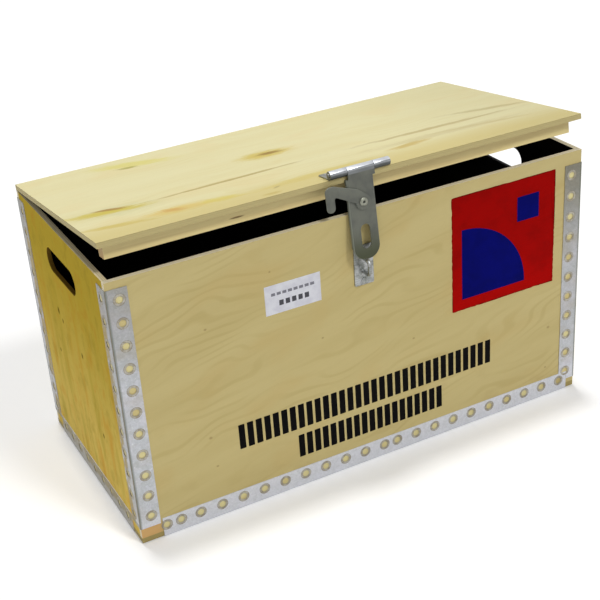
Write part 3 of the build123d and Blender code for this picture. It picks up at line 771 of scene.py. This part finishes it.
for x in frontRow:
    holePoints.append(((x, -outY, holes["line"]), (0, -1, 0)))
    holePoints.append(((x, -lineY, 0), (0, 0, -1)))
for index in range(holes["backCount"]):
    x = holes["backStart"] + holes["pitch"] * index
    holePoints.append(((x, outY, holes["line"]), (0, 1, 0)))
    holePoints.append(((x, lineY, 0), (0, 0, -1)))
for side in (-1, 1):
    for index in range(holes["endCount"]):
        y = holes["endStart"] + holes["pitch"] * index
        holePoints.append(((side * outX, y, holes["line"]), (side, 0, 0)))
        holePoints.append(((side * lineX, y, 0), (0, 0, -1)))


def burrFinish():
    f = Finish("shaded and dirty burr zinc")
    cloud = f.noise(f.where()[0], 0.22)
    # painted shade of the countersink, with dirt: a darker brownish grey
    colour = f.mix(srgb(158, 150, 132), srgb(190, 185, 172), cloud.rise(0.35, 0.65))
    return f.surface(colour, 0.55 + cloud * 0.1, 0.3, f.bump(cloud, 0.05))


def plugFinish():
    f = Finish("birch in the holes")
    place, _ = f.where()
    x, y, z = place.parts()
    fibre = f.noise(f.vector(x * 0.5, y * 0.5, z * 1.5), 1.0, 3.0, 0.6)
    patch = f.noise(place, 0.03, 2.0).rise(0.42, 0.62)
    colour = f.shade(f.mix(srgb(232, 220, 160), srgb(216, 198, 136), patch), 0.92 + fibre * 0.16)
    return f.surface(colour, 0.62 + fibre * 0.1, bump=f.bump(fibre, 0.1))


burrTree = Tree("hole burrs", [
    ("Ring Radius", "Float"), ("Roll Radius", "Float"), ("Rise", "Float"), ("Sides", "Int"),
    ("Material", "Material"),
])
ring = burrTree.add("GeometryNodeCurvePrimitiveCircle", {"mode": "RADIUS"}, {
    "Resolution": burrTree.take("Sides"), "Radius": burrTree.take("Ring Radius")})
rollRing = burrTree.add("GeometryNodeCurvePrimitiveCircle", {"mode": "RADIUS"}, {
    "Resolution": 4, "Radius": burrTree.take("Roll Radius")})
tube = burrTree.add("GeometryNodeCurveToMesh", {}, {"Curve": ring, "Profile Curve": rollRing})
flat = burrTree.add("ShaderNodeCombineXYZ", {}, {"X": 1.0, "Y": 1.0, "Z": burrTree.take("Rise")})
burrTree.close(burrTree.add("GeometryNodeTransform", {}, {"Geometry": tube, "Scale": flat}))

plugTree = Tree("plywood plugs", [
    ("Foot Radius", "Float"), ("Top Radius", "Float"), ("Depth", "Float"), ("Sink", "Float"),
    ("Sides", "Int"), ("Material", "Material"),
])
plug = plugTree.add("GeometryNodeMeshCone", {"fill_type": "NGON"}, {
    "Vertices": plugTree.take("Sides"), "Radius Top": plugTree.take("Top Radius"),
    "Radius Bottom": plugTree.take("Foot Radius"), "Depth": plugTree.take("Depth")})
down = plugTree.add("ShaderNodeCombineXYZ", {}, {"Z": plugTree.take("Sink")})
plugTree.close(plugTree.add("GeometryNodeTransform", {}, {"Geometry": plug, "Translation": down}))

burrRoll = (holes["burrOut"] - holes["burrIn"]) / 2
burrTree.make("holeBurrs", holePoints, {
    "Ring Radius": (holes["burrIn"] + burrRoll) * mm, "Roll Radius": burrRoll * mm,
    "Rise": holes["burrRise"], "Sides": holes["burrSides"],
}, burrFinish(), "body")
openHole = ((frontRow[-1], -outY, holes["line"]), (0, -1, 0))
plugTree.make("holePlugs", [point for point in holePoints if point != openHole], {
    "Foot Radius": holes["radius"] * mm, "Top Radius": holes["plugTop"] * mm,
    "Depth": holes["plugRise"] * mm, "Sink": -(box["steel"] + holes["plugSink"]) * mm,
    "Sides": holes["plugSides"],
}, plugFinish(), "body")
print("holes dressed:", len(holePoints))


# countersunk screws with a cross recess
screws = {
    "head": 3.0, "headDepth": 1.3, "headSides": 28, "shank": 1.5, "shankSides": 16, "shankFrom": 0.9,
    "short": 5.5, "long": 14.0, "recess": (3.4, 0.75, 1.5), "seed": 4,
    "haspX": (-30, -11, 11, 30), "haspYZ": (-133.5, 341.3),
    "hingeX": (-200, 200), "hingeSteps": (-20, 0, 20),
    "lidLeafYZ": (148.25, 331.5), "backLeafYZ": (153.0, 313.0),
}
screwTree = Tree("cross head screws", [
    ("Head Radius", "Float"), ("Head Depth", "Float"), ("Shank Radius", "Float"),
    ("Shank From", "Float"), ("Length", "Float"), ("Recess", "Vector"), ("Seed", "Int"),
    ("Material", "Material"),
])
add, take = screwTree.add, screwTree.take
head = add("GeometryNodeMeshCone", {"fill_type": "NGON"}, {
    "Vertices": screws["headSides"], "Radius Top": take("Head Radius"),
    "Radius Bottom": take("Shank Radius"), "Depth": take("Head Depth")})
headDown = add("ShaderNodeMath", {"operation": "MULTIPLY"}, {0: take("Head Depth"), 1: -1.0})
head = add("GeometryNodeTransform", {}, {
    "Geometry": head, "Translation": add("ShaderNodeCombineXYZ", {}, {"Z": headDown})})
shank = add("GeometryNodeMeshCylinder", {"fill_type": "NGON"}, {
    "Vertices": screws["shankSides"], "Radius": take("Shank Radius"), "Depth": take("Length")})
shankDown = add("ShaderNodeMath", {"operation": "MULTIPLY"}, {0: take("Length"), 1: -0.5})
shankDown = add("ShaderNodeMath", {"operation": "SUBTRACT"}, {0: shankDown, 1: take("Shank From")})
shank = add("GeometryNodeTransform", {}, {
    "Geometry": shank, "Translation": add("ShaderNodeCombineXYZ", {}, {"Z": shankDown})})
bar = add("GeometryNodeMeshCube", {}, {"Size": take("Recess")})
crossBar = add("GeometryNodeTransform", {}, {
    "Geometry": bar, "Rotation": (0.0, 0.0, math.pi / 2)})
cut = add("GeometryNodeMeshBoolean", {"operation": "DIFFERENCE"}, {
    "Mesh 1": head, "Mesh 2": [bar, crossBar]})
whole = add("GeometryNodeJoinGeometry", {}, {"Geometry": [cut, shank]})
spinAngle = add("FunctionNodeRandomValue", {"data_type": "FLOAT"}, {
    2: 0.0, 3: math.pi, "Seed": take("Seed")}, 1)
spin = add("FunctionNodeEulerToRotation", {}, {
    "Euler": add("ShaderNodeCombineXYZ", {}, {"Z": spinAngle})})
screwTree.close(whole, spin)


def lidPoint(place, facing):  # from the closed lid to the lid as it stands
    hinge = Vector(box["hinge"])
    turn = Matrix.Rotation(-math.radians(box["lidOpen"]), 3, "X")
    return tuple(turn @ (Vector(place) - hinge) + hinge), tuple(turn @ Vector(facing))


hingeScrewX = [middle + step for middle in screws["hingeX"] for step in screws["hingeSteps"]]
screwRows = {  # piece: what it stands for, body, length, material, points
    "haspScrews": ("hasp_screws", "lid", "long", lidZinc, [
        lidPoint((x, *screws["haspYZ"]), (0, 0, 1)) for x in screws["haspX"]]),
    "lidHingeScrews": ("lid_hinge_screws", "lid", "short", lidZinc, [
        lidPoint((x, *screws["lidLeafYZ"]), (0, 0, -1)) for x in hingeScrewX]),
    "backHingeScrews": ("back_hinge_screws", "body", "short", bodyZinc, [
        ((x, *screws["backLeafYZ"]), (0, 1, 0)) for x in hingeScrewX]),
}
for name, (node, body, length, material, points) in screwRows.items():
    row = screwTree.make(name, points, {
        "Head Radius": screws["head"] * mm, "Head Depth": screws["headDepth"] * mm,
        "Shank Radius": screws["shank"] * mm, "Shank From": screws["shankFrom"] * mm,
        "Length": (screws[length] - screws["shankFrom"]) * mm,
        "Recess": Vector(screws["recess"]) * mm, "Seed": screws["seed"],
    }, material, body)
    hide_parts(node)
print("screws in")


# rivet of the lever: turned profile with a dimple, as (radius, height) above the lever's back
leverRivet = {
    "place": (-2.5, -157.021, 347.036),
    "profile": [
        (0.0, 2.85), (0.9, 2.9), (1.5, 3.5), (1.9, 4.0), (2.5, 4.1), (3.4, 3.95), (4.3, 3.45),
        (4.9, 2.8), (5.0, 2.3), (2.5, 2.3), (2.5, -2.1), (4.0, -2.1), (3.9, -2.7), (3.3, -3.1),
        (0.0, -3.1),
    ],
    "steps": 40, "sharpAngle": 50,
    "bright": srgb(150, 152, 138), "dull": srgb(118, 120, 106), "dimple": srgb(52, 54, 48),
    "dimpleEdge": (1.1, 1.9), "closedZ": 308.4,  # its height when the lid is closed
}


def turned(name, look, outward, material):
    work = bmesh.new()
    rings = []
    for radius, height in look["profile"]:
        count = 1 if radius == 0 else look["steps"]
        angles = [2 * math.pi * i / look["steps"] for i in range(count)]
        rings.append([work.verts.new((
            radius * mm * math.cos(angle), radius * mm * math.sin(angle), height * mm,
        )) for angle in angles])
    for upper, lower in zip(rings, rings[1:]):
        for i in range(look["steps"]):
            j = (i + 1) % look["steps"]
            corners = [upper[i % len(upper)], lower[i % len(lower)], lower[j % len(lower)],
                       upper[j % len(upper)]]
            work.faces.new([c for n, c in enumerate(corners) if c not in corners[:n]])
    bmesh.ops.recalc_face_normals(work, faces=work.faces)
    turn = Vector(outward).to_track_quat("Z", "Y").to_matrix().to_4x4()
    stand = Matrix.Translation(Vector(look["place"]) * mm) @ turn
    bmesh.ops.transform(work, matrix=stand, verts=work.verts)
    mesh = bpy.data.meshes.new(name)
    work.to_mesh(mesh)
    work.free()
    smooth(mesh, look["sharpAngle"])
    return newPiece(name, mesh, material)


def rivetFinish():
    f = Finish("bright rivet")
    place, _ = f.where(onLid=True)
    x, _, z = place.parts()
    cloud = f.noise(place, 0.4)
    fromMiddle = apart(x - leverRivet["place"][0], z - leverRivet["closedZ"])
    colour = f.mix(leverRivet["bright"], leverRivet["dull"], cloud.rise(0.4, 0.7))
    # painted shade: dark in the rivet's dimple
    colour = f.mix(colour, leverRivet["dimple"], fromMiddle.fall(*leverRivet["dimpleEdge"]))
    return f.surface(colour, 0.4 + cloud * 0.1, 0.6)


tilt = math.radians(box["lidOpen"])
rivet = turned("leverRivet", leverRivet, (0, -math.cos(tilt), math.sin(tilt)), rivetFinish())
rivetBody = next(b for b, n in frame["record"]["behaviour"]["bodies"].items() if "lever_rivet" in n)
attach(rivet, rivetBody)
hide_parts("lever_rivet")


# paint and print on the front
frontY = -box["halfDepth"]
paint = {
    "square": {"left": 118.0, "right": 268.0, "low": 166.6, "high": 316.6, "ragged": 0.45},
    "disc": {"middle": (132.0, 180.6), "radius": 92.0, "steps": 26},
    "chip": {"left": 212.0, "right": 244.0, "low": 262.0, "high": 294.0, "ragged": 0.15},
    "film": 0.12, "secondCoat": 0.06, "sunk": 0.03,  # thickness, and how deep it is in the wood
    "brushStep": 3.0, "seed": 12, "roughness": 0.5, "gloss": 0.03,
    "red": {"main": srgb(165, 2, 0), "dark": srgb(142, 2, 0), "thin": srgb(186, 40, 22),
            "rim": srgb(84, 12, 8), "seed": 2.0, "bump": 0.06},
    "blue": {"main": srgb(3, 8, 108), "dark": srgb(2, 5, 86), "thin": srgb(40, 24, 92),
             "seed": 5.0, "bump": 0.06},
    "black": {"main": srgb(10, 9, 11), "dark": srgb(16, 15, 14), "thin": srgb(70, 62, 44),
              "seed": 8.0, "bump": 0.05},
}
wobble = random.Random(paint["seed"])


# A thin closed film on the front panel with this outline (X, Z in mm)
def film(name, outline, lift, material):
    work = bmesh.new()
    back = [work.verts.new((x * mm, (frontY + paint["sunk"]) * mm, z * mm)) for x, z in outline]
    face = [work.verts.new((x * mm, (frontY - lift) * mm, z * mm)) for x, z in outline]
    work.faces.new(back)
    work.faces.new(face[::-1])
    for i in range(len(outline)):
        j = (i + 1) % len(outline)
        work.faces.new((back[i], face[i], face[j], back[j]))
    bmesh.ops.triangulate(work, faces=[f for f in work.faces if len(f.verts) > 4])
    bmesh.ops.recalc_face_normals(work, faces=work.faces)
    mesh = bpy.data.meshes.new(name)
    work.to_mesh(mesh)
    work.free()
    piece = newPiece(name, mesh, material)
    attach(piece, "body")


def raggedBlock(block):
    left, right, low, high = [block[key] for key in ("left", "right", "low", "high")]
    amount = block["ragged"]
    points = []
    corners = [(left, low), (right, low), (right, high), (left, high)]
    for (ax, az), (bx, bz) in zip(corners, corners[1:] + corners[:1]):
        count = max(2, int(math.hypot(bx - ax, bz - az) / paint["brushStep"]))
        for i in range(count):
            share = i / count
            points.append((ax + (bx - ax) * share + wobble.uniform(-amount, amount),
                           az + (bz - az) * share + wobble.uniform(-amount, amount)))
    return points


def brushed(name, look, extra=None):
    f = Finish(name)
    place, _ = f.where()
    x, _, z = place.parts()
    seed = look["seed"]
    brush = f.noise(f.vector(x * 0.05, z * 0.6, seed), 1.0, 4.0, 0.6)
    cloud = f.noise(f.vector(x * 0.03, z * 0.03, seed + 3), 1.0, 4.0, 0.6)
    thin = f.noise(f.vector(x * 0.35, z * 0.9, seed + 6), 1.0, 2.0).rise(0.72, 0.8)
    colour = f.mix(look["main"], look["dark"], cloud.rise(0.38, 0.7) * 0.7)
    colour = f.shade(colour, 0.9 + brush * 0.2)
    colour = f.mix(colour, look["thin"], thin * 0.35)
    if extra:
        colour = extra(f, x, z, colour)
    roughness, bump = paint["roughness"] + brush * 0.1, f.bump(brush, look["bump"])
    return f.surface(colour, roughness, bump=bump, Specular_IOR_Level=paint["gloss"])


def squareBorder(f, x, z, colour):  # thicker and darker at the rim, brighter low down
    square = paint["square"]
    border = (x - square["left"]).least(square["right"] - x)
    border = border.least(z - square["low"]).least(square["high"] - z)
    colour = f.mix(colour, paint["red"]["rim"], border.fall(0.3, 2.2) * 0.4)
    return f.shade(colour, 1.2 - z.rise(square["low"], square["low"] + 90) * 0.22)


redPaint = brushed("red paint", paint["red"], squareBorder)
bluePaint = brushed("blue paint", paint["blue"])
blackPaint = brushed("black paint", paint["black"])

film("redSquare", raggedBlock(paint["square"]), paint["film"], redPaint)
discX, discZ = paint["disc"]["middle"]
discSteps, radius = paint["disc"]["steps"], paint["disc"]["radius"]
quarter = [(discX, discZ)]
for i in range(discSteps + 1):
    angle = math.pi / 2 * i / discSteps
    quarter.append((discX + radius * math.cos(angle), discZ + radius * math.sin(angle)))
film("blueQuarter", quarter, paint["film"] + paint["secondCoat"], bluePaint)
film("blueChip", raggedBlock(paint["chip"]), paint["film"] + paint["secondCoat"], bluePaint)

bars = {  # plain upright bars: first bar's left, last bar's right, low, high, count
    "upperBars": (-175.5, 173.5, 80.0, 112.5, 32),
    "lowerBars": (-100.5, 100.5, 40.5, 71.0, 19),
}
barLook = {"width": 7.8, "film": 0.14, "corner": 0.8, "cornerSteps": 3, "weld": 0.002}
barTree = Tree("painted bars", [
    ("Width", "Float"), ("Height", "Float"), ("Film", "Float"), ("Corner", "Float"),
    ("Material", "Material"),
])
add, take = barTree.add, barTree.take
outline = add("GeometryNodeCurvePrimitiveQuadrilateral", {"mode": "RECTANGLE"}, {
    "Width": take("Width"), "Height": take("Height")})
rounded = add("GeometryNodeFilletCurve", {"mode": "POLY"}, {
    "Curve": outline, "Count": barLook["cornerSteps"], "Radius": take("Corner")})
flatBar = add("GeometryNodeFillCurve", {"mode": "NGONS"}, {"Curve": rounded})
raised = add("GeometryNodeExtrudeMesh", {"mode": "FACES"}, {
    "Mesh": flatBar, "Offset Scale": take("Film"), "Individual": False})
under = add("GeometryNodeFlipFaces", {}, {"Mesh": flatBar})
joined = add("GeometryNodeJoinGeometry", {}, {"Geometry": [raised, under]})
barTree.close(add("GeometryNodeMergeByDistance", {}, {
    "Geometry": joined, "Distance": barLook["weld"] * mm}))
for name, (left, right, low, high, count) in bars.items():
    pitch = (right - left - barLook["width"]) / (count - 1)
    firstX, middleZ = left + barLook["width"] / 2, (low + high) / 2
    barTree.make(name, [
        ((firstX + pitch * i, frontY + paint["sunk"], middleZ), (0, -1, 0)) for i in range(count)
    ], {
        "Width": barLook["width"] * mm, "Height": (high - low) * mm, "Film": barLook["film"] * mm,
        "Corner": barLook["corner"] * mm,
    }, blackPaint, "body")


label = {
    "left": -128.5, "low": 239.0, "paper": srgb(228, 229, 236), "cloud": srgb(214, 214, 224),
    "rows": [  # left, right, low and high on the label, pitch, half of the inked share, ink
        (8.0, 62.0, 22.5, 26.0, 7.0, 0.36, srgb(120, 120, 130)),
        (16.0, 56.0, 9.0, 15.5, 8.0, 0.34, srgb(58, 58, 66)),
    ],
}


def labelPaper():
    f = Finish("label paper")
    place, _ = f.where()
    x, _, z = place.parts()
    x, z = x - label["left"], z - label["low"]
    cloud = f.noise(place, 0.08)
    colour = f.mix(label["paper"], label["cloud"], cloud.rise(0.35, 0.7))
    for left, right, low, high, pitch, fill, ink in label["rows"]:
        inked = abs((x / pitch).fraction() - 0.5) < fill
        inked = inked * (z > low) * (z < high) * (x > left) * (x < right)
        colour = f.mix(colour, ink, inked)
    return f.surface(colour, 0.5 + cloud * 0.05, bump=f.bump(cloud, 0.05))


dress("contents_label", labelPaper())
print("front painted")


# stage: floor, light, world and camera
stage = {
    "cameraPlace": (-0.63593, -1.27512, 0.90308),
    "cameraTurn": (62.26104, 3.75022, -28.06998),
    "lens": 75.93, "sensor": 36.0,
    "worldLight": 0.36,
    "lamps": {  # where each soft lamp stands, how wide it looks in degrees, its strength
        "overhead": ((0.0, 0.14, 1.0), 7.0, 1.34),
        "front fill": ((0.32, -0.78, 1.0), 12.0, 1.0),
    },
    "floorReach": 8.0, "floorBelow": 0.0004,  # in metres
    "floorAlbedo": 0.8, "floorSeen": 0.95,  # for the light that it gives back, and as it is seen
    "floorLift": 0.11,
}
white = (1, 1, 1, 1)


def whiteSeen(f):  # 1 where the camera, or a reflection, looks straight at it
    rays = f.add("ShaderNodeLightPath", {}, (), "Is Camera Ray")
    outputs = rays.socket.node.outputs
    return rays.most(Sock(f, outputs["Is Glossy Ray"])).most(Sock(f, outputs["Is Transmission Ray"]))


reach, floorZ = stage["floorReach"], -stage["floorBelow"]
floorCorners = [(x * reach, y * reach, floorZ) for x, y in ((-1, -1), (1, -1), (1, 1), (-1, 1))]
floorMesh = bpy.data.meshes.new("floor")
floorMesh.from_pydata(floorCorners, [], [(0, 1, 2, 3)])
f = Finish("pale floor")
paleness = whiteSeen(f) * (stage["floorSeen"] - stage["floorAlbedo"]) + stage["floorAlbedo"]
matt = f.add("ShaderNodeBsdfDiffuse", {}, {"Color": f.vector(paleness, paleness, paleness)})
glow = f.add("ShaderNodeEmission", {}, {"Strength": whiteSeen(f) * stage["floorLift"]})
both = f.add("ShaderNodeAddShader", {}, (matt, glow))
f.add("ShaderNodeOutputMaterial", {}, {"Surface": both})
newPiece("floor", floorMesh, f.material)

world = bpy.data.worlds.new("studio")
bpy.context.scene.world = world
w = Finish("studio", world)
light = w.add("ShaderNodeBackground", {}, {"Color": white, "Strength": stage["worldLight"]})
seen = w.add("ShaderNodeBackground", {}, {"Color": white, "Strength": 1.0})
sky = w.add("ShaderNodeMixShader", {}, (whiteSeen(w), light, seen))
w.add("ShaderNodeOutputWorld", {}, {"Surface": sky})

for name, (stand, width, strength) in stage["lamps"].items():
    sun = bpy.data.lights.new(name, "SUN")
    sun.energy, sun.angle = strength, math.radians(width)
    lamp = bpy.data.objects.new(name, sun)
    lamp.location = stand
    lamp.rotation_euler = (-Vector(stand)).to_track_quat("-Z", "Y").to_euler()
    bpy.context.scene.collection.objects.link(lamp)

camera = bpy.data.cameras.new("camera")
camera.lens, camera.sensor_width = stage["lens"], stage["sensor"]
cameraStand = bpy.data.objects.new("camera", camera)
cameraStand.location = stage["cameraPlace"]
cameraStand.rotation_euler = [math.radians(angle) for angle in stage["cameraTurn"]]
bpy.context.scene.collection.objects.link(cameraStand)
bpy.context.scene.camera = cameraStand
bpy.context.scene.view_settings.view_transform = "Standard"
print("stage set")
